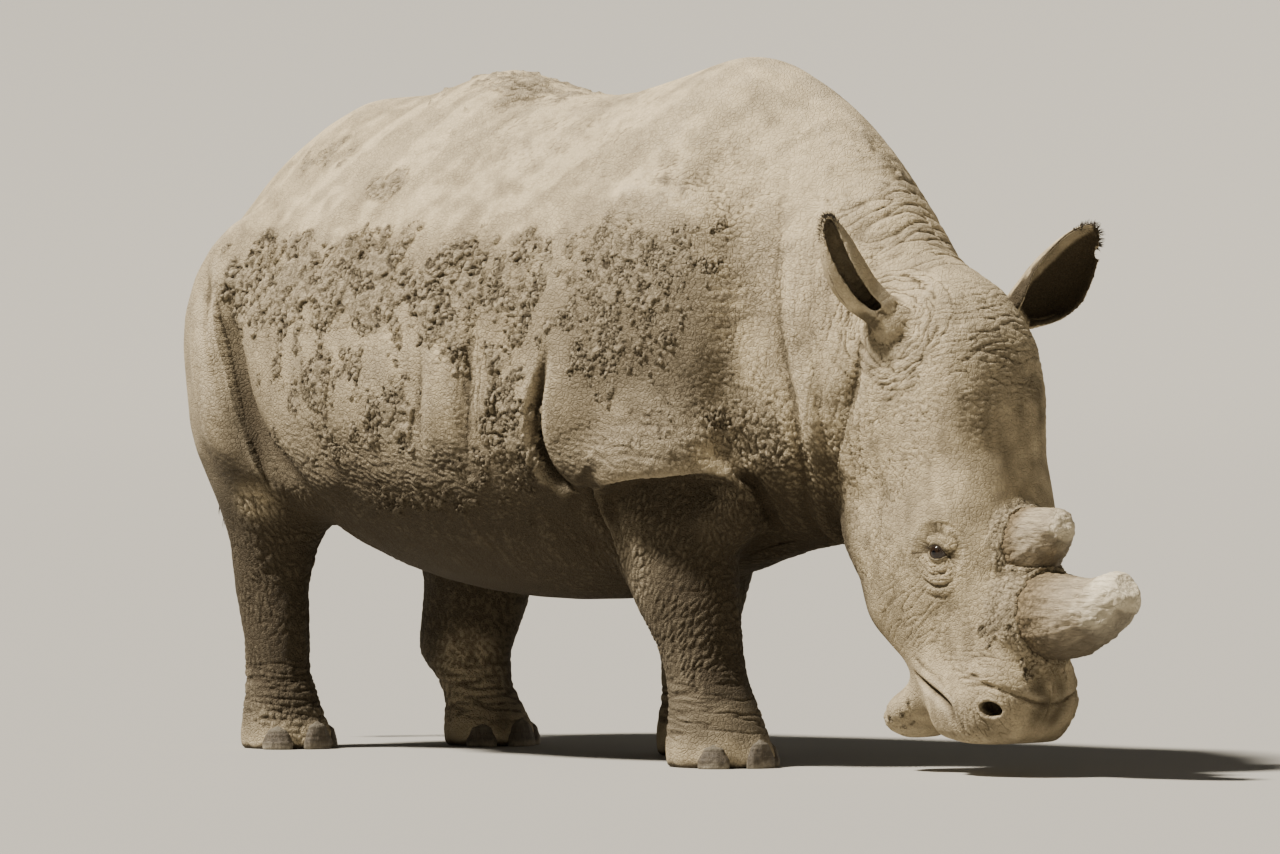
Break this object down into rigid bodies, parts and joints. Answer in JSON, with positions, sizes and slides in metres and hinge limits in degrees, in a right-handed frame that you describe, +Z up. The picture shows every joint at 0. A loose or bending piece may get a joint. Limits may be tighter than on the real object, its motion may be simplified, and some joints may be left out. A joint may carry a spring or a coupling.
{
  "type": "rhinoceros",
  "caption": "Life-size still model of an adult white rhinoceros grazing in mid-stride, head hanging to the ground, horns worn to blunt stubs.",
  "frame": {"origin": "centre of the bounding box at floor level, under the soles", "axes": "+X toward the head, +Y to the animal's left, +Z up"},
  "size_m": [3.2454, 1.1486, 1.7455],
  "materials": {
    "hide": "dry wrinkled grey hide with dust and dried mud",
    "ear_hide": "thin dry hide, dark inside the ear",
    "horn": "worn fibrous horn, muddy at the base",
    "toenail": "rough dusty toenail",
    "eye": "wet dark eye",
    "tail_hair": "coarse dark hair"
  },
  "bodies": {
    "root": {"barrel": "hide", "ear_left": "ear_hide", "ear_right": "ear_hide", "eye_left": "eye", "eye_right": "eye", "fore_left_foot": "hide", "fore_left_lower": "hide", "fore_left_nail_inner": "toenail", "fore_left_nail_mid": "toenail", "fore_left_nail_outer": "toenail", "fore_left_upper": "hide", "fore_right_foot": "hide", "fore_right_lower": "hide", "fore_right_nail_inner": "toenail", "fore_right_nail_mid": "toenail", "fore_right_nail_outer": "toenail", "fore_right_upper": "hide", "head": "hide", "hind_left_foot": "hide", "hind_left_lower": "hide", "hind_left_nail_inner": "toenail", "hind_left_nail_mid": "toenail", "hind_left_nail_outer": "toenail", "hind_left_upper": "hide", "hind_right_foot": "hide", "hind_right_lower": "hide", "hind_right_nail_inner": "toenail", "hind_right_nail_mid": "toenail", "hind_right_nail_outer": "toenail", "hind_right_upper": "hide", "hindquarters": "hide", "horn_front": "horn", "horn_rear": "horn", "lower_jaw": "hide", "neck": "hide", "shoulders": "hide", "tail": "hide", "tail_tuft": "tail_hair"}
  },
  "joints": []
}
